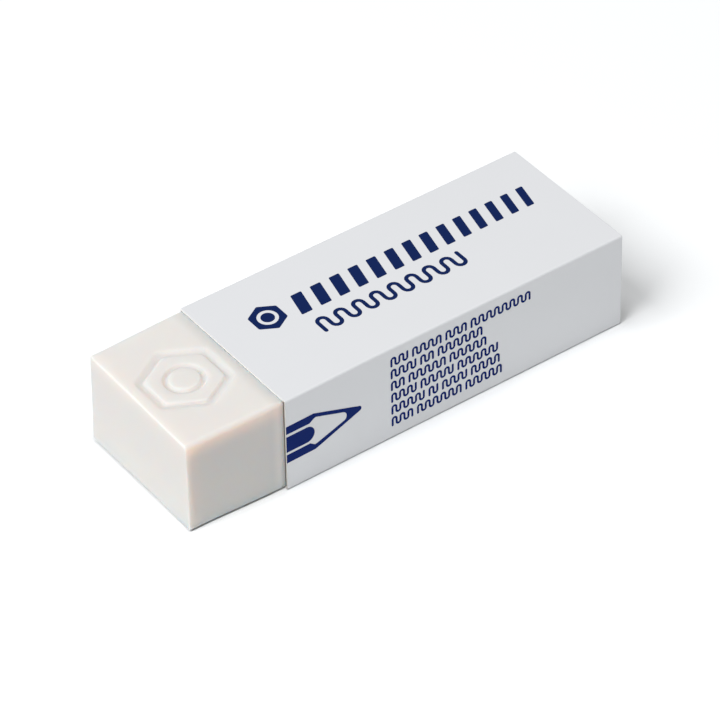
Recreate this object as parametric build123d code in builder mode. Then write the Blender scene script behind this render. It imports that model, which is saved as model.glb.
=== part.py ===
from build123d import *
import os

# Block of soft vinyl in an open-ended sleeve of folded card, in millimetres.
# The whole part stands on Z = 0 with its length along X, centred on X = 0 and Y = 0.
# The bare end of the block is at -X.

# Block
BLOCK_LENGTH = 65.0
BLOCK_WIDTH = 21.2
BLOCK_HEIGHT = 13.0
LONG_EDGE = 0.4  # rounding of the long edges, from the mould
END_EDGE = 0.2  # rounding round each cut end
BARE_LENGTH = 13.6  # how far the block stands out of the sleeve

# Mark pressed into the top of the bare end: a hexagonal pencil seen end on
MARK_ACROSS_FLATS = 10.2
MARK_CORNER = 1.0  # rounding of the outer corners
MARK_LINE = 1.0  # width of the two pressed lines, one hexagonal and one round
MARK_LEAD = 5.6  # outer diameter of the round line
MARK_DEPTH = 0.3
MARK_DRAFT = 20.0  # slope of the pressed walls, in degrees
MARK_SET_BACK = 6.8  # from the bare end face to the middle of the mark

# Sleeve
CARD = 0.25  # thickness of the card
FOLD_INSIDE = 0.18  # inside radius of a crease
GLUE_FLAP = 14.0  # width of the flap that is glued down under the block
GLUE_LINE = 0.05  # thickness of the dried glue between flap and panel
GLUE_MARGIN = 1.5  # bare card left on each side of the glue
SEAM_SETBACK = 0.4  # from the outer face of the wall to the free edge beside it
BACK_OVERHANG = 0.4  # how far the card reaches past the back of the block

# Room between block and card
NEAR_PLAY = 0.25  # on the -Y side
FAR_PLAY = 0.05  # on the +Y side, where the block leans
TOP_PLAY = 0.1

# Places that follow from the sizes
front_of_block = -(BLOCK_LENGTH + BACK_OVERHANG) / 2
middle_of_block = front_of_block + BLOCK_LENGTH / 2
front_of_sleeve = front_of_block + BARE_LENGTH
back_of_sleeve = front_of_block + BLOCK_LENGTH + BACK_OVERHANG
block_offset = (NEAR_PLAY - FAR_PLAY) / 2
block_floor = CARD + GLUE_LINE + CARD  # bottom panel, glue, flap
block_top = block_floor + BLOCK_HEIGHT
sleeve_width = CARD + NEAR_PLAY + BLOCK_WIDTH + FAR_PLAY + CARD
sleeve_height = block_top + TOP_PLAY + CARD

# The block is a length cut from a moulded bar. The mark is pressed in last.
with BuildPart() as eraser_block:
    with BuildSketch(Plane.XY.offset(block_floor)):
        with Locations((middle_of_block, block_offset)):
            Rectangle(BLOCK_LENGTH, BLOCK_WIDTH)
    extrude(amount=BLOCK_HEIGHT)
    fillet(eraser_block.edges().filter_by(Axis.X), radius=LONG_EDGE)
    fillet(eraser_block.faces().filter_by(Axis.X).edges(), radius=END_EDGE)

    with BuildSketch(Plane.XY.offset(block_top)) as mark:
        with Locations((front_of_block + MARK_SET_BACK, block_offset)):
            RegularPolygon(MARK_ACROSS_FLATS / 2, side_count=6, major_radius=False, rotation=30)
            fillet(mark.vertices(), radius=MARK_CORNER)
            offset(mark.face(), amount=-MARK_LINE, kind=Kind.ARC, mode=Mode.SUBTRACT)
            Circle(MARK_LEAD / 2)
            Circle(MARK_LEAD / 2 - MARK_LINE, mode=Mode.SUBTRACT)
    extrude(amount=-MARK_DEPTH, taper=MARK_DRAFT, mode=Mode.SUBTRACT)

eraser_block.part.label = "eraser_block"

# The sleeve is one strip of card, given here by the middle of its thickness. It starts at the
# free edge of the glue flap under the block, turns up the +Y wall, crosses the top, comes down
# the -Y wall and runs back outside the flap, to end just short of the +Y wall.
wall_plane = (sleeve_width - CARD) / 2
top_plane = sleeve_height - CARD / 2
bottom_plane = CARD / 2
flap_plane = bottom_plane + CARD + GLUE_LINE
flap_edge = sleeve_width / 2 - GLUE_FLAP
seam_edge = sleeve_width / 2 - SEAM_SETBACK

with BuildPart() as card_sleeve:
    with BuildSketch(Plane.YZ.offset(front_of_sleeve)):
        with BuildLine():
            FilletPolyline(
                (flap_edge, flap_plane),
                (wall_plane, flap_plane),
                (wall_plane, top_plane),
                (-wall_plane, top_plane),
                (-wall_plane, bottom_plane),
                (seam_edge, bottom_plane),
                radius=FOLD_INSIDE + CARD / 2,
            )
        trace(line_width=CARD)
        with Locations((sleeve_width / 2 - GLUE_FLAP / 2, CARD + GLUE_LINE / 2)):
            Rectangle(GLUE_FLAP - 2 * GLUE_MARGIN, GLUE_LINE)
    extrude(amount=back_of_sleeve - front_of_sleeve)

card_sleeve.part.label = "card_sleeve"

os.makedirs("parts", exist_ok=True)
export_step(eraser_block.part, "parts/eraser_block.step")
export_step(card_sleeve.part, "parts/card_sleeve.step")
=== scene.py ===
import math

import bmesh
import bpy
from mathutils import Matrix, Vector, noise


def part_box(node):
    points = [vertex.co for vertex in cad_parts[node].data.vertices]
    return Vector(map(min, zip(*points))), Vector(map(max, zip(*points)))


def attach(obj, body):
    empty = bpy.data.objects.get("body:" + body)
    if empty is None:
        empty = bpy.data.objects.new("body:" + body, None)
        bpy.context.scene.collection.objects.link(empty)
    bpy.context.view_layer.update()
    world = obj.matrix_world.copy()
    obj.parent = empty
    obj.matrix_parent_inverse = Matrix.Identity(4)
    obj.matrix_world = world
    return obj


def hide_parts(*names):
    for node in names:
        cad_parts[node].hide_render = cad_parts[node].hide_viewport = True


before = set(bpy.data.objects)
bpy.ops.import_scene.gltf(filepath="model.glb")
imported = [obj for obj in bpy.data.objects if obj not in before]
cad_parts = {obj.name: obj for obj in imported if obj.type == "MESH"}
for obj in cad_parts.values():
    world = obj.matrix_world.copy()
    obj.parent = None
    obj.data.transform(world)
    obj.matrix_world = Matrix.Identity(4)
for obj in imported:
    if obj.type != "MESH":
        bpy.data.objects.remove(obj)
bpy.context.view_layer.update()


# Eraser block: a length of soft off-white vinyl, cut from a moulded bar, with a mark pressed into
# the top of its bare end. It has swollen and sagged a little in its sleeve, and use has worn the
# bare end narrower and rounded its upper -Y edge.

MM = 0.001
WORN_EDGE = 0.55 * MM  # rounding of the upper long edge on the -Y side
CRISP_EDGE = 0.2 * MM  # rounding of the other long edges
END_EDGE = 0.2 * MM  # rounding round each cut end
EDGE_STEPS = 6
BESIDE_EDGE = 0.15 * MM  # first line in from a rounded edge, which keeps the shading of the flats true
BARE_LENGTH = 13.6 * MM  # how much of the block is out of the sleeve
MARK_ACROSS_FLATS = 10.2 * MM
MARK_SHARPNESS = 24  # the higher, the less rounded the mark's six corners
MARK_LINE = 1.0 * MM  # width of the two pressed lines, one hexagonal and one round
MARK_LEAD = 5.6 * MM  # outer diameter of the round line
MARK_DEPTH = 0.3 * MM
MARK_WALL = 0.45 * MM  # width of the soft slope at each side of a pressed line
MARK_RIM = 0.9 * MM  # width of the slope outside the hexagonal line, where the vinyl was drawn down
MARK_SET_BACK = 6.8 * MM  # from the bare end to the middle of the mark
MARK_FIELD = (6.1 * MM, 6.6 * MM)  # half size, along X and Y, of the finely modelled field round it
PLUMP = 0.21 * MM  # how far the vinyl swells up towards the card, less and less towards the bare end
SAG = 0.28 * MM  # how far it settles down beside the glue flap, which ends under its middle
SAG_START = -2.0 * MM  # where across the block the sag begins
SAG_WIDTH = 6.0 * MM  # width over which it grows towards -Y
END_WEAR = (0.45 * MM, -0.12 * MM)  # how far in the bare end has worn, on the -Y and +Y sides
END_STRETCH = 0.13 * MM  # how much longer the bare end has become
END_SKEW = (0.15 * MM, -0.25 * MM)  # how much farther the top of its cut stands out, at -Y and +Y
BLOCK_LEAN = 0.12 * MM  # how far the top of the -Y side leans in, inside the sleeve
UNEVENNESS = (0.01 * MM, 0.02 * MM, 0.006 * MM)  # along X, Y and Z
UNEVEN_SCALE = 160  # per metre
UNEVEN_SEED = 1
FINE_STEP = 0.4 * MM  # of the net in the mark's field
CROSS_STEP = 1.0 * MM  # of the net elsewhere, across the block
LONG_STEP = 2.0 * MM  # and along it
PAINTED_LIGHT_AND_SHADE_BAND = (-1.9 * MM, -0.3 * MM, 0, 2.6 * MM)  # start, full, fade and end, from the mouth inwards, of painted shade on the top and painted light on the sides
GAP_SHADE_BAND = (0.02 * MM, 0.08 * MM, 0.2 * MM, 0.32 * MM)  # the same, for a thin line of painted shade on the sides, in the gap at the mouth
PAINTED_GLOW_BAND = (2.8 * MM, 0.5 * MM)  # start and full, from the top of the block down, of a painted warm glow on the sides

VINYL = (0.69, 0.668, 0.643, 1)
CLOUDED_VINYL = (0.71, 0.688, 0.663, 1)
# Colours painted in for light and shade: a darker top and paler sides beside the mouth, a warm glow under
# the upper edges, and a dark line in the gap at the mouth
PAINTED_SHADE_VINYL = (0.62, 0.575, 0.54, 1)
PAINTED_LIGHT_VINYL = (0.96, 0.85, 0.79, 1)
PAINTED_GLOW_VINYL = (0.96, 0.81, 0.72, 1)
PAINTED_GAP_SHADE = (0.22, 0.21, 0.19, 1)

block_low, block_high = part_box("eraser_block")
mark_middle = Vector((block_low.x + MARK_SET_BACK, (block_low.y + block_high.y) / 2, block_high.z))


def spaced(start, stop, step):
    """Even stations from start to stop, about step apart."""
    count = max(1, round((stop - start) / step))
    return [start + (stop - start) * i / count for i in range(count + 1)]


def joined(*runs):
    """Runs of stations, one after the other, with the shared ends kept once."""
    line = list(runs[0])
    for run in runs[1:]:
        line += run[1:] if abs(run[0] - line[-1]) < 1e-7 else run
    return line


def eased(share):
    """A share from 0 to 1, with a soft start and a soft stop."""
    share = min(1, max(0, share))
    return share * share * (3 - 2 * share)


def between(ends, share):
    return ends[0] + (ends[1] - ends[0]) * share


def nearest(lines, place):
    return min(lines, key=lambda line: abs(line - place))


def new_piece(name, points, faces, body, slot, *materials):
    """A smooth-shaded mesh object that rides on a body and takes the given materials. The slot is not used.
    """
    mesh = bpy.data.meshes.new(name)
    mesh.from_pydata(points, [], faces)
    fit = bmesh.new()
    fit.from_mesh(mesh)
    bmesh.ops.delete(fit, geom=[point for point in fit.verts if not point.link_faces], context="VERTS")
    bmesh.ops.remove_doubles(fit, verts=fit.verts, dist=1e-7)
    bmesh.ops.recalc_face_normals(fit, faces=fit.faces)
    fit.to_mesh(mesh)
    fit.free()
    mesh.shade_smooth()
    piece = bpy.data.objects.new(name, mesh)
    bpy.context.scene.collection.objects.link(piece)
    for material in materials:
        mesh.materials.append(material)
    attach(piece, body)
    return piece


def bar_section(y_lines, z_lines):
    """Points round the bar's section in Y and Z, each with its outward direction."""
    low, high = block_low, block_high
    under = [low.y + CRISP_EDGE] + y_lines[1:-1] + [high.y - CRISP_EDGE]
    over = [low.y + WORN_EDGE] + under[1:]
    crisp_side = [low.z + CRISP_EDGE] + z_lines[1:-1] + [high.z - CRISP_EDGE]
    worn_side = crisp_side[:-1] + [high.z - WORN_EDGE]
    sides = ([((y, low.z), (0, -1)) for y in under],
             [((high.y, z), (1, 0)) for z in crisp_side],
             [((y, high.z), (0, 1)) for y in reversed(over)],
             [((low.y, z), (-1, 0)) for z in reversed(worn_side)])
    corners = ((high.y, low.z, CRISP_EDGE), (high.y, high.z, CRISP_EDGE),
               (low.y, high.z, WORN_EDGE), (low.y, low.z, CRISP_EDGE))
    ring = []
    for i, (side, (y, z, radius)) in enumerate(zip(sides, corners)):
        ring += side
        y += radius if y == low.y else -radius
        z += radius if z == low.z else -radius
        for step in range(1, EDGE_STEPS):
            turn = math.radians(90 * (i - 1 + step / EDGE_STEPS))
            out = (math.cos(turn), math.sin(turn))
            ring.append(((y + radius * out[0], z + radius * out[1]), out))
    return ring


def bar_stations(x_lines):
    """Stations along the bar, each with how far the rounded ends draw the section in there."""
    rounding = []
    for step in range(EDGE_STEPS + 1):
        turn = math.radians(90 * step / EDGE_STEPS)
        rounding.append((END_EDGE * (1 - math.sin(turn)), END_EDGE * (1 - math.cos(turn))))
    stations = [(block_low.x + out, inset) for out, inset in reversed(rounding)]
    stations += [(x, 0) for x in x_lines[1:-1]]
    return stations + [(block_high.x - out, inset) for out, inset in rounding]


def add_cut_end(points, faces, ring, first, x, y_lines, z_lines):
    """Closes a cut end with a net of squares over the flat and a fan in each rounded corner."""
    at = {}
    for y in y_lines:
        for z in z_lines:
            at[y, z] = len(points)
            points.append((x, y, z))
    for ya, yb in zip(y_lines, y_lines[1:]):
        for za, zb in zip(z_lines, z_lines[1:]):
            faces.append((at[ya, za], at[yb, za], at[yb, zb], at[ya, zb]))
    inner = [at[nearest(y_lines, y), nearest(z_lines, z)] for (y, z), _ in ring]
    for j in range(len(ring)):
        k = (j + 1) % len(ring)
        faces.append(tuple(dict.fromkeys((first + j, first + k, inner[k], inner[j]))))


def mark_radius(turn, inset):
    """Distance from the mark's middle to its hexagonal outline, moved in by inset."""
    flats = sum(abs(math.cos(turn - math.radians(60 * i))) ** MARK_SHARPNESS for i in range(3))
    return (MARK_ACROSS_FLATS / 2 - inset) / flats ** (1 / MARK_SHARPNESS)


def add_pressed_mark(points, faces, field_x, field_y):
    """Adds the mark as loops that follow its outline, from its field's border down to its middle."""
    middle = mark_middle
    border = [(x, field_y[0]) for x in field_x[:-1]] + [(field_x[-1], y) for y in field_y[:-1]]
    border += [(x, field_y[-1]) for x in reversed(field_x[1:])]
    border += [(field_x[0], y) for y in reversed(field_y[1:])]
    reach = {math.atan2(y - middle.y, x - middle.x): math.hypot(x - middle.x, y - middle.y)
             for x, y in border}
    first, count = len(points), len(border)

    def follow(radius_at, depth):
        """Adds a loop at a distance from the middle that may change with the turn."""
        for turn in reach:
            radius = radius_at(turn)
            points.append((middle.x + radius * math.cos(turn), middle.y + radius * math.sin(turn),
                           middle.z - depth))

    steps = [i / 6 for i in range(7)]
    lead = MARK_LEAD / 2
    for s in (0, 0.35, 0.7):  # in from the border
        follow(lambda turn: between((reach[turn], mark_radius(turn, MARK_WALL - MARK_RIM)), s), 0)
    for s in steps:  # down to the hexagonal line
        follow(lambda turn: mark_radius(turn, MARK_WALL - (1 - s) * MARK_RIM), MARK_DEPTH * eased(s))
    for s in steps:  # up again
        follow(lambda turn: mark_radius(turn, MARK_LINE - (1 - s) * MARK_WALL), MARK_DEPTH * eased(1 - s))
    for s in (0.3, 0.65):  # over the flat ring between the lines
        follow(lambda turn: between((mark_radius(turn, MARK_LINE), lead), s), 0)
    for s in steps:  # down to the round line
        follow(lambda turn: lead - s * MARK_WALL, MARK_DEPTH * eased(s))
    for s in steps:  # up again
        follow(lambda turn: lead - MARK_LINE + (1 - s) * MARK_WALL, MARK_DEPTH * eased(1 - s))
    for s in (0.7, 0.35):  # over the flat middle
        follow(lambda turn: (lead - MARK_LINE) * s, 0)

    last = len(points) - count
    for outer in range(first, last, count):
        for j in range(count):
            k = (j + 1) % count
            faces.append((outer + j, outer + k, outer + count + k, outer + count + j))
    faces += [(last + j, last + (j + 1) % count, last + count) for j in range(count)]
    points.append(tuple(middle))


def softened(point):
    """Moves a point of the exact bar to where the soft vinyl has settled and worn."""
    x, y, z = point
    across = (y - block_low.y) / (block_high.y - block_low.y)
    height = (z - block_low.z) / (block_high.z - block_low.z)
    bare = eased((block_low.x + BARE_LENGTH - x) / BARE_LENGTH)
    x -= bare * (END_STRETCH + height * between(END_SKEW, across))
    y += bare * between(END_WEAR, across) + (1 - bare) * BLOCK_LEAN * height * (1 - across)
    z += PLUMP * (1 - bare) * height - SAG * (1 - height) * eased((SAG_START - y) / SAG_WIDTH)
    wave = noise.noise_vector(Vector((x, y, z)) * UNEVEN_SCALE)
    return tuple(place + part * most for place, part, most in zip((x, y, z), wave, UNEVENNESS))


def make_block():
    """Points and faces of the whole block."""
    low, high = block_low, block_high
    field_x = spaced(mark_middle.x - MARK_FIELD[0], mark_middle.x + MARK_FIELD[0], FINE_STEP)
    field_y = spaced(mark_middle.y - MARK_FIELD[1], mark_middle.y + MARK_FIELD[1], FINE_STEP)
    x0, x1 = low.x + END_EDGE, high.x - END_EDGE
    y0, y1 = low.y + WORN_EDGE, high.y - WORN_EDGE
    z0, z1 = low.z + WORN_EDGE, high.z - WORN_EDGE
    x_lines = joined([x0, x0 + BESIDE_EDGE], field_x, spaced(field_x[-1], x1 - BESIDE_EDGE, LONG_STEP),
                     [x1 - BESIDE_EDGE, x1])
    y_lines = joined([y0, y0 + BESIDE_EDGE], spaced(y0 + BESIDE_EDGE, field_y[0], CROSS_STEP), field_y,
                     spaced(field_y[-1], y1 - BESIDE_EDGE, CROSS_STEP), [y1 - BESIDE_EDGE, y1])
    z_lines = joined([z0, z0 + BESIDE_EDGE], spaced(z0 + BESIDE_EDGE, z1 - BESIDE_EDGE, CROSS_STEP),
                     [z1 - BESIDE_EDGE, z1])
    ring = bar_section(y_lines, z_lines)
    stations = bar_stations(x_lines)
    noise.seed_set(UNEVEN_SEED)  # so that the unevenness is the same in every run
    points, faces = [], []
    for x, inset in stations:
        points += [(x, y - inset * out_y, z - inset * out_z) for (y, z), (out_y, out_z) in ring]
    count = len(ring)
    for i in range(len(stations) - 1):
        for j in range(count):
            k = (j + 1) % count
            face = (i * count + j, (i + 1) * count + j, (i + 1) * count + k, i * count + k)
            middle = sum((Vector(points[n]) for n in face), Vector()) / 4
            marked = (middle.z > high.z - 1e-7 and field_x[0] < middle.x < field_x[-1]
                      and field_y[0] < middle.y < field_y[-1])
            if not marked:
                faces.append(face)
    for i in (0, len(stations) - 1):
        add_cut_end(points, faces, ring, i * count, stations[i][0], y_lines, z_lines)
    add_pressed_mark(points, faces, field_x, field_y)
    return [softened(point) for point in points], faces


class Socket:
    """An output socket of a material. Arithmetic on values adds Math nodes."""

    def __init__(self, tree, out):
        self.tree = tree
        self.out = out

    def node(self, kind, settings, sockets, out=None):
        """Adds any node: first its settings, then the values or links of its sockets."""
        new = self.tree.nodes.new("ShaderNode" + kind)
        for name, setting in settings.items():
            setattr(new, name, setting)
        for name, value in sockets.items():
            if isinstance(name, int):
                socket = new.inputs[name]
            else:
                socket = next(s for s in new.inputs if s.name == name and s.enabled)
            if isinstance(value, Socket):
                self.tree.links.new(value.out, socket)
            else:
                socket.default_value = value
        shown = [s for s in new.outputs if s.enabled and out in (None, s.name)]
        return Socket(self.tree, shown[0]) if shown else None

    def math(self, operation, *others):
        return self.node("Math", {"operation": operation}, dict(enumerate((self, *others))))

    def __add__(self, other):
        return self.math("ADD", other)

    def __sub__(self, other):
        return self.math("SUBTRACT", other)

    def __rsub__(self, other):
        return self.node("Math", {"operation": "SUBTRACT"}, {0: other, 1: self})

    def __mul__(self, other):
        return self.math("MULTIPLY", other)

    __radd__ = __add__
    __rmul__ = __mul__

    def mixed(self, first, second):
        """A colour that goes from first to second as this value goes from 0 to 1."""
        return self.node("Mix", {"data_type": "RGBA"}, {"Factor": self, "A": first, "B": second}, "Result")

    def ramp(self, start, stop):
        """A soft step: 0 where this value is at start, 1 where it is at stop."""
        return self.node("MapRange", {"interpolation_type": "SMOOTHSTEP"},
                         {"Value": self, "From Min": start, "From Max": stop})

    def band(self, start, full, fade, end):
        """1 where this value is between full and fade, and softly down to 0 at start and at end."""
        return self.ramp(start, full) * (1 - self.ramp(fade, end))

    def axis(self, name):
        """The X, Y or Z of this place or direction."""
        return self.node("SeparateXYZ", {}, {"Vector": self}, name)

    def noise(self, scale, detail=3.0, roughness=0.55):
        """Cloudy noise from 0 to 1 at this place."""
        return self.node("TexNoise", {}, {"Vector": self, "Scale": scale, "Detail": detail,
                                          "Roughness": roughness}, "Fac")

    def bump(self, strength, distance):
        """A normal tilted as if this value were a height."""
        return self.node("Bump", {}, {"Strength": strength, "Distance": distance, "Height": self})


def new_material(name):
    """An empty node material, with the place on the piece to build it from."""
    material = bpy.data.materials.new(name)
    material.use_nodes = True
    material.node_tree.nodes.clear()
    return material, Socket(material.node_tree, None).node("TexCoord", {}, {}, "Object")


def surface(place, sockets):
    """Ends a material in a principled shader with the given sockets."""
    shader = place.node("BsdfPrincipled", {}, sockets)
    place.node("OutputMaterial", {}, {"Surface": shader})


def make_vinyl():
    """Soft vinyl, with painted shade on its top and painted light on its sides beside the mouth of the
    sleeve, a painted line of shade in the gap there, and a painted warm glow under its upper edges.
    """
    material, place = new_material("off_white_vinyl")
    grain = place.noise(2600, 4)
    scuffs = place.noise(500, 5, 0.65)
    normal = place.node("NewGeometry", {}, {}, "Normal")
    upward = normal.axis("Z").math("MAXIMUM", 0.0)
    sideways = normal.axis("Y").math("ABSOLUTE").math("POWER", 4.0)
    past_mouth = place.axis("X") - (block_low.x + BARE_LENGTH)
    near_mouth = past_mouth.band(*PAINTED_LIGHT_AND_SHADE_BAND)
    gap_shade = past_mouth.band(*GAP_SHADE_BAND)
    near_top = (block_high.z - place.axis("Z")).ramp(*PAINTED_GLOW_BAND)
    colour = place.noise(140).mixed(VINYL, CLOUDED_VINYL)
    # painted shade on the top beside the mouth
    colour = (0.8 * near_mouth * upward).mixed(colour, PAINTED_SHADE_VINYL)
    # painted light on the sides beside the mouth, against the shade there
    colour = (0.65 * near_mouth * sideways).mixed(colour, PAINTED_LIGHT_VINYL)
    # painted warm glow on the sides under the upper edges, where light shows through the vinyl
    colour = (0.5 * near_top * sideways).mixed(colour, PAINTED_GLOW_VINYL)
    # painted shade: a dark line on the sides in the gap at the mouth
    colour = (gap_shade * sideways).mixed(colour, PAINTED_GAP_SHADE)
    surface(place, {
        "Base Color": colour,
        "Roughness": 0.46 + 0.14 * scuffs,
        "Specular IOR Level": 0.22,
        "Subsurface Weight": 1.0,
        "Subsurface Radius": (0.85, 0.56, 0.42),
        "Subsurface Scale": 4.0 * MM,
        "Normal": (grain + scuffs).bump(0.12, 0.02 * MM),
    })
    return material


block = new_piece("block_of_vinyl", *make_block(), "block", "vinyl", make_vinyl())
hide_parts("eraser_block")


# Card sleeve: one strip of thin coated card, creased four times round the block and glued to itself
# along a flap under it. White and satin outside, raw inside, with cut edges of bare fibre. The
# swollen vinyl holds its top up, and its -Y panel leans in on the block and opens out at the mouth.

CARD = 0.25 * MM
FOLD_INSIDE = 0.06 * MM
FOLD_STEPS = 8
BESIDE_FOLD = 0.12 * MM  # first line in from a crease, which keeps the shading of the panels true
PANEL_STEP = 1.5 * MM  # of the net across a panel
GLUE_FLAP = 14.0 * MM
GLUE_LINE = 0.05 * MM
SEAM_SETBACK = 0.4 * MM
BACK_TRIM = 0.1 * MM  # how far the back edge was cut short
CUT_RIM = 0.03 * MM  # first line in from a cut edge
TOP_LIFT = 0.13 * MM  # how far the swollen vinyl holds the top panel up
LEAN = 0.32 * MM  # how far the top of the -Y panel leans in, away from the mouth
MOUTH_LEAN = 0.3  # share of that lean which is left at the mouth
FLARE = 13.0 * MM  # length over which the panel opens out
OUTSIDE, INSIDE, CUT_EDGE = range(3)  # finishes of the card

COATED_CARD = (0.735, 0.745, 0.765, 1)
CLOUDED_CARD = (0.75, 0.76, 0.78, 1)
RAW_CARD = (0.66, 0.645, 0.60, 1)
CLOUDED_RAW_CARD = (0.72, 0.705, 0.66, 1)
CARD_FIBRE = (0.97, 0.965, 0.95, 1)
CLOUDED_FIBRE = (0.99, 0.985, 0.97, 1)
PAINTED_SHADE_CARD = (0.45, 0.44, 0.42, 1)

sleeve_low, sleeve_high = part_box("card_sleeve")


def strip_line():
    """Points along the middle of the card, from flap to seam, each with the way that faces out."""
    wall = (sleeve_high.y - sleeve_low.y - CARD) / 2
    top = sleeve_high.z + TOP_LIFT - CARD / 2
    bottom = CARD / 2
    flap = bottom + CARD + GLUE_LINE
    corners = [(sleeve_high.y - GLUE_FLAP, flap), (wall, flap), (wall, top), (-wall, top),
               (-wall, bottom), (sleeve_high.y - SEAM_SETBACK, bottom)]
    outward = [(0, -1), (1, 0), (0, 1), (-1, 0), (0, -1)]
    radius = FOLD_INSIDE + CARD / 2
    line = []
    for i, out in enumerate(outward):
        (ya, za), (yb, zb) = corners[i], corners[i + 1]
        length = math.hypot(yb - ya, zb - za)
        along = ((yb - ya) / length, (zb - za) / length)
        begin = radius if i > 0 else 0
        end = length - (radius if i < 4 else 0)
        panel = joined([begin, begin + BESIDE_FOLD],
                       spaced(begin + BESIDE_FOLD, end - BESIDE_FOLD, PANEL_STEP),
                       [end - BESIDE_FOLD, end])
        line += [((ya + along[0] * s, za + along[1] * s), out) for s in panel]
        if i < 4:
            centre = (yb - along[0] * radius - out[0] * radius, zb - along[1] * radius - out[1] * radius)
            after = outward[i + 1]
            for step in range(1, FOLD_STEPS):
                turn = math.radians(90 * step / FOLD_STEPS)
                way = tuple(out[n] * math.cos(turn) + after[n] * math.sin(turn) for n in (0, 1))
                line.append(((centre[0] + radius * way[0], centre[1] + radius * way[1]), way))
    return line


def settled(point):
    """Moves a point of the exact sleeve to where the card has settled on the block."""
    x, y, z = point
    opened = min(1, between((MOUTH_LEAN, 1), (x - sleeve_low.x) / FLARE))
    lean = LEAN * z / sleeve_high.z * opened
    return x, y + lean * (sleeve_high.y - y) / (sleeve_high.y - sleeve_low.y), z


def make_sleeve():
    """Points and faces of the folded strip, and the finish of each face."""
    line = strip_line()
    front, back = sleeve_low.x, sleeve_high.x - BACK_TRIM
    x_lines = joined([front, front + CUT_RIM], spaced(front + CUT_RIM, front + FLARE, LONG_STEP),
                     spaced(front + FLARE, back - CUT_RIM, LONG_STEP), [back - CUT_RIM, back])
    points, faces, finishes = [], [], []
    for side in (0.5, -0.5):
        for x in x_lines:
            points += [(x, y + side * CARD * oy, z + side * CARD * oz) for (y, z), (oy, oz) in line]
    rows, count = len(x_lines), len(line)
    inside = rows * count
    for i in range(rows - 1):
        for j in range(count - 1):
            a, b = i * count + j, (i + 1) * count + j
            faces += [(a, b, b + 1, a + 1), (inside + a, inside + a + 1, inside + b + 1, inside + b)]
            finishes += [OUTSIDE, INSIDE]
        for j in (0, count - 1):
            a, b = i * count + j, (i + 1) * count + j
            faces.append((a, inside + a, inside + b, b))
            finishes.append(CUT_EDGE)
    for i in (0, rows - 1):
        for j in range(count - 1):
            a = i * count + j
            faces.append((a, a + 1, inside + a + 1, inside + a))
            finishes.append(CUT_EDGE)
    return [settled(point) for point in points], faces, finishes


def make_card(name, tint, shade, fibre, satin, gloss, coat, painted_side_shade):
    """Card with a fibrous bump, a satin roughness, a gloss, a coat, and painted shade along its -Y side."""
    material, place = new_material(name)
    tooth = place.noise(3200, 3)
    # painted shade on the cut edges near the -Y side, which lie in the block's shadow
    shaded_near_minus_y = painted_side_shade * (1 - place.axis("Y").ramp(sleeve_low.y + 0.2 * MM, sleeve_low.y + 1.0 * MM))
    surface(place, {
        "Base Color": shaded_near_minus_y.mixed(place.noise(120).mixed(tint, shade), PAINTED_SHADE_CARD),
        "Roughness": satin + 0.1 * tooth,
        "Specular IOR Level": gloss,
        "Coat Weight": coat,
        "Coat Roughness": 0.25,
        "Normal": tooth.bump(fibre, 0.01 * MM),
    })
    return material


coated = make_card("coated_card", COATED_CARD, CLOUDED_CARD,
                   fibre=0.15, satin=0.36, gloss=0.8, coat=1, painted_side_shade=0)
raw = make_card("raw_card", RAW_CARD, CLOUDED_RAW_CARD,
                fibre=0.6, satin=0.8, gloss=0.3, coat=0, painted_side_shade=0)
cut = make_card("cut_card_edge", CARD_FIBRE, CLOUDED_FIBRE,
                fibre=0.8, satin=0.85, gloss=0.3, coat=0, painted_side_shade=0.8)

sleeve_points, sleeve_faces, finishes = make_sleeve()
sleeve = new_piece("folded_card_sleeve", sleeve_points, sleeve_faces, "sleeve", "card", coated, raw, cut)
for face, finish in zip(sleeve.data.polygons, finishes):
    face.material_index = finish
    face.use_smooth = finish != CUT_EDGE
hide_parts("card_sleeve")


# Printing: dark blue ink laid on the card before it is folded, full on the top panel. On the -Y panel
# it is painted a lighter blue: painted light that keeps it as bright as the top's ink in that side's
# shade. The top has a pencil seen end on, a row of slanted bars and a squiggle. The side has a
# pencil that starts at the mouth, and six rows of small squiggles. Outlines are in millimetres.

INK = 0.02 * MM  # thickness of the ink, which is the same everywhere
INK_OVERLAP = 0.01 * MM  # how much more of it lies inside the card
BARS = 14
BAR_LEFT = -8.0
BAR_WIDTH = 1.62  # of the first bar
BAR_TAPER = 0.04  # how much narrower each next one is
BAR_GAP = 1.3
BAR_LEAN = 0.9
BAR_CORNER = 0.18
BAR_FOOT, BAR_HEAD = 0.8, 4.6
PENCIL_END = (-11.65, 2.95)
ROWS = ((4, 7, 5, 15), (6, 3, 11), (3, 9, 9), (6, 8, 10), (8, 2, 6, 7), (5, 11, 9))  # turns of each squiggle
ROW_LEFT = -3.25
ROW_TOP = 11.3
ROW_DROP = 1.86
ROW_HEIGHT = 1.15
ROW_LINE = 0.3
TURN_PITCH = 0.6
WORD_GAP = 0.87

FULL_INK = (0.006, 0.016, 0.080, 1)
MOTTLED_INK = (0.008, 0.019, 0.090, 1)
# the -Y side's ink is painted lighter: painted light that keeps it as bright as the top's ink in that side's
# shade
LIGHTENED_SIDE_INK = (0.007, 0.022, 0.145, 1)
MOTTLED_LIGHTENED_SIDE_INK = (0.010, 0.026, 0.165, 1)


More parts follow.
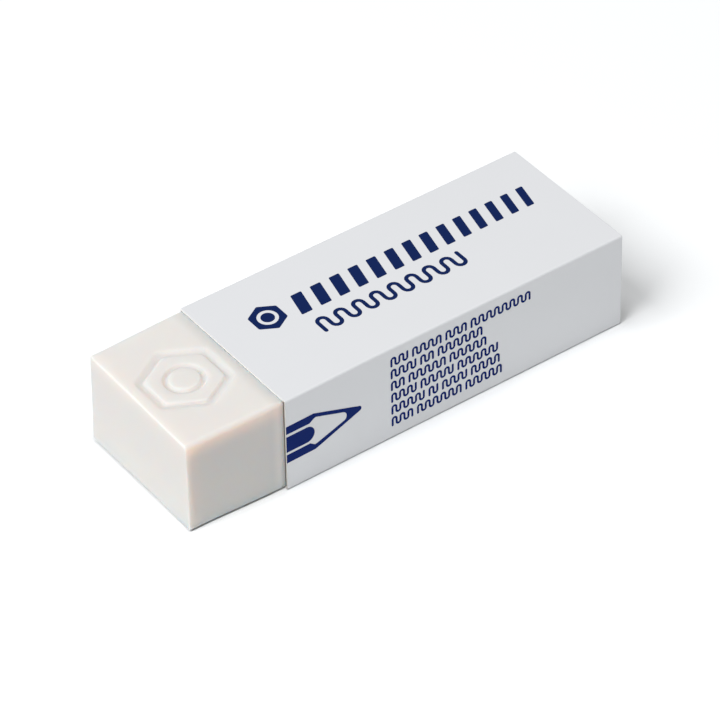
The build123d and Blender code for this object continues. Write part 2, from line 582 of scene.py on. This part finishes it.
def rounded(corners, radius, steps=5):
    """The outline of a polygon with every corner rounded."""
    outline = []
    for i, corner in enumerate(corners):
        here = Vector(corner)
        before = Vector(corners[i - 1]) - here
        after = Vector(corners[(i + 1) % len(corners)]) - here
        half = before.angle(after) / 2
        reach = min(radius / math.tan(half), before.length * 0.49, after.length * 0.49)
        first = here + before.normalized() * reach
        last = here + after.normalized() * reach
        for step in range(steps + 1):
            t = step / steps
            outline.append(tuple((1 - t) ** 2 * first + 2 * t * (1 - t) * here + t ** 2 * last))
    return outline


def arc(x, y, radius, start, stop, steps=16):
    """Points round the middle x, y, from one angle to the other, in degrees."""
    turns = [math.radians(start + (stop - start) * i / steps) for i in range(steps + 1)]
    return [(x + radius * math.cos(turn), y + radius * math.sin(turn)) for turn in turns]


def circle(x, y, radius):
    return arc(x, y, radius, 0, 360, 40)[:-1]


def hexagon(x, y, across_flats, radius):
    return rounded(arc(x, y, across_flats / math.sqrt(3), 30, 390, 6)[:-1], radius)


def slanted_bar(left, width):
    right = left + width
    foot = [(left, BAR_FOOT), (right, BAR_FOOT)]
    head = [(right + BAR_LEAN, BAR_HEAD), (left + BAR_LEAN, BAR_HEAD)]
    return rounded(foot + head, BAR_CORNER)


def stroke(path, width):
    """The outline of a line of even width with round ends, along a path of close points."""
    left, right = [], []
    path = [Vector(point) for point in path]
    for i, point in enumerate(path):
        way = (path[min(i + 1, len(path) - 1)] - path[max(i - 1, 0)]).normalized()
        side = Vector((-way.y, way.x)) * width / 2
        left.append(tuple(point + side))
        right.append(tuple(point - side))
    ends = []
    for point, way in ((path[-1], path[-1] - path[-2]), (path[0], path[0] - path[1])):
        start = math.degrees(math.atan2(way.y, way.x)) + 90
        ends.append(arc(point.x, point.y, width / 2, start, start - 180, 8)[1:-1])
    return left + ends[0] + right[::-1] + ends[1]


def squiggle(x, y, turns, pitch, height):
    """Points along a line that goes up and down, with round turns."""
    radius = pitch / 2
    path = [(x, y)]
    for i in range(turns):
        middle = x + pitch * i + radius
        if i % 2 == 0:
            path += arc(middle, y + height - radius, radius, 180, 0, 8)
        else:
            path += arc(middle, y + radius, radius, 180, 360, 8)
    return path + [(x + pitch * turns, y if turns % 2 else y + height)]


def printed(name, outlines, turn, offset, ink):
    """Outlines filled as flat ink on the sleeve. An outline inside another one is a hole."""
    drawing = bpy.data.curves.new(name, "CURVE")
    drawing.dimensions = "2D"
    drawing.fill_mode = "BOTH"
    drawing.extrude = (INK + INK_OVERLAP) / 2
    for outline in outlines:
        spline = drawing.splines.new("POLY")
        spline.points.add(len(outline) - 1)
        for point, (x, y) in zip(spline.points, outline):
            point.co = (x * MM, y * MM, 0, 1)
        spline.use_cyclic_u = True
    holder = bpy.data.objects.new(name, drawing)
    flat = bpy.data.meshes.new_from_object(holder)
    place = Matrix.Translation(offset) @ Matrix.Rotation(turn, 4, "X")
    points = [settled(place @ vertex.co) for vertex in flat.vertices]
    faces = [tuple(face.vertices) for face in flat.polygons]
    bpy.data.objects.remove(holder)
    bpy.data.curves.remove(drawing)
    bpy.data.meshes.remove(flat)
    piece = new_piece(name, points, faces, "sleeve", "print", ink)
    piece.data.shade_flat()


def make_ink(name, tint, shade):
    """Matt ink, slightly mottled."""
    material, place = new_material(name)
    mottle = place.noise(900, 3)
    surface(place, {
        "Base Color": mottle.mixed(tint, shade),
        "Roughness": 0.5 + 0.12 * mottle,
        "Specular IOR Level": 0.02,
        "Normal": mottle.bump(0.1, 0.005 * MM),
    })
    return material


ink_level = (INK - INK_OVERLAP) / 2

top_outlines = [hexagon(*PENCIL_END, across_flats=4.3, radius=0.35)]
top_outlines += [circle(*PENCIL_END, 1.38), circle(*PENCIL_END, 0.9)]  # bare wood, and the lead in it
left = BAR_LEFT
for i in range(BARS):
    width = BAR_WIDTH - BAR_TAPER * i
    top_outlines.append(slanted_bar(left, width))
    left += width + BAR_GAP
top_outlines.append(stroke(squiggle(-7.4, -3.4, turns=16, pitch=1.35, height=2.35), 0.55))
printed("ink_on_top", top_outlines, 0, (0, 0, sleeve_high.z + TOP_LIFT + ink_level),
        make_ink("dark_blue_ink", FULL_INK, MOTTLED_INK))

# The pencil's outline: its outside from the mouth to the point and back, then its inside.
mouth = sleeve_low.x / MM
pencil = [(0, 4.33), (4.28, 4.4)] + arc(10.83, 7.27, 0.39, -79, 79) + [(4.1, 10.06), (0, 10.03)]
pencil += [(0, 8.86), (3.45, 8.83), (4.1, 9.28), (4.4, 9.38)] + arc(8.2, 7.2, 0.79, 76, -49)
pencil += [(4.5, 5.2), (4.2, 5.15), (3.5, 5.66), (0, 5.62)]
middle_band = [(0, 6.02)] + arc(3.0, 7.21, 1.19, -90, 90) + [(0, 8.41)]
side_outlines = [[(mouth + x, z) for x, z in outline] for outline in (pencil, middle_band)]
for row, words in enumerate(ROWS):
    left = ROW_LEFT
    for turns in words:
        path = squiggle(left, ROW_TOP - ROW_DROP * row, turns, TURN_PITCH, ROW_HEIGHT)
        side_outlines.append(stroke(path, ROW_LINE))
        left += TURN_PITCH * turns + WORD_GAP
printed("ink_on_side", side_outlines, math.pi / 2, (0, sleeve_low.y - ink_level, 0),
        make_ink("side_ink_painted_lighter", LIGHTENED_SIDE_INK, MOTTLED_LIGHTENED_SIDE_INK))


# Studio: a wide pale floor, one softbox from the bare end, another from almost straight above, and
# a very weak sky.

FLOOR_REACH = 3.0  # metres, half its width
PALE_FLOOR = (0.87, 0.885, 0.895, 1)
CLOUDED_FLOOR = (0.89, 0.905, 0.915, 1)
SKY = (0.97, 0.985, 1, 1)
SKY_STRENGTH = 0.02

floor_material, place = new_material("pale_floor")
surface(place, {
    "Base Color": place.noise(6).mixed(PALE_FLOOR, CLOUDED_FLOOR),
    "Roughness": 0.9,
})
floor_mesh = bpy.data.meshes.new("floor")
floor_corners = [(x * FLOOR_REACH, y * FLOOR_REACH, 0) for x, y in ((-1, -1), (1, -1), (1, 1), (-1, 1))]
floor_mesh.from_pydata(floor_corners, [], [(0, 1, 2, 3)])
floor_mesh.materials.append(floor_material)
floor = bpy.data.objects.new("floor", floor_mesh)
bpy.context.scene.collection.objects.link(floor)


def softbox(name, place, size, share):
    """A square light that faces the eraser. Share is how bright it makes a white card facing it."""
    lamp = bpy.data.lights.new(name, "AREA")
    lamp.size = size
    lamp.energy = share * (math.pi * Vector(place).length) ** 2
    holder = bpy.data.objects.new(name, lamp)
    holder.location = place
    holder.rotation_euler = (-Vector(place)).to_track_quat("-Z", "Y").to_euler()
    bpy.context.scene.collection.objects.link(holder)


softbox("key_softbox", (-1.3, -0.03, 1.72), size=1.2, share=0.885)
softbox("top_softbox", (-0.1, -0.2, 2.2), size=1.0, share=0.555)

sky = bpy.data.worlds.new("sky")
sky.use_nodes = True
sky.node_tree.nodes["Background"].inputs["Color"].default_value = SKY
sky.node_tree.nodes["Background"].inputs["Strength"].default_value = SKY_STRENGTH
bpy.context.scene.world = sky
bpy.context.scene.view_settings.view_transform = "Standard"


# Camera: a long lens on a tripod half a metre away, which looks down at the bare end and the -Y
# side. It is very slightly tilted.

VIEW_AZIMUTH = math.radians(-36.23)
VIEW_HEIGHT = math.radians(40.45)
VIEW_TILT = math.radians(-0.59)
VIEW_DISTANCE = 522 * MM
VIEW_AIM = (-0.08 * MM, 2.54 * MM)  # aim point, right and up of the frame's origin
LENS = 210.2
SENSOR = 36

back = Vector((math.sin(VIEW_AZIMUTH) * math.cos(VIEW_HEIGHT),
               -math.cos(VIEW_AZIMUTH) * math.cos(VIEW_HEIGHT),
               math.sin(VIEW_HEIGHT)))
level = Vector((math.cos(VIEW_AZIMUTH), math.sin(VIEW_AZIMUTH), 0))
rise = back.cross(level)
right = math.cos(VIEW_TILT) * level + math.sin(VIEW_TILT) * rise
up = back.cross(right)
camera = bpy.data.objects.new("camera", bpy.data.cameras.new("camera"))
camera.data.lens = LENS
camera.data.sensor_width = SENSOR
camera.data.clip_start = 0.01
away = VIEW_AIM[0] * right + VIEW_AIM[1] * up + VIEW_DISTANCE * back
camera.matrix_world = Matrix.Translation(away) @ Matrix((right, up, back)).transposed().to_4x4()
bpy.context.scene.collection.objects.link(camera)
bpy.context.scene.camera = camera
